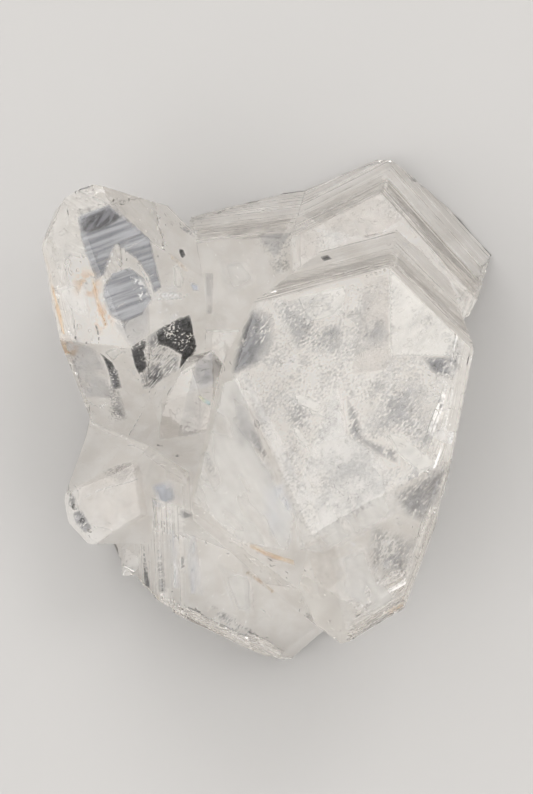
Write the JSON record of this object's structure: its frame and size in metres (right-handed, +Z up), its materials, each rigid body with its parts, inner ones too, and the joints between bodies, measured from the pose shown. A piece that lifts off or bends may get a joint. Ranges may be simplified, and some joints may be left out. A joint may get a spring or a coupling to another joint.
{
  "type": "quartz crystal cluster",
  "caption": "Clear quartz crystals grown into each other, with flat point faces, stepped growth bands and broken rims, cut off flat underneath to rest on.",
  "frame": {"origin": "centre of the bounding box at the height of the flat cut underneath", "axes": "+Z up from the flat cut, +Y along the cluster's longest side towards its stepped bands, +X towards the biggest crystal"},
  "size_m": [0.0824, 0.103, 0.0433],
  "materials": {
    "quartz": "clear, glossy natural crystal faces with faint growth lines, veils and warm iron stains"
  },
  "bodies": {
    "root": {"quartz_cluster": "quartz"}
  },
  "joints": []
}
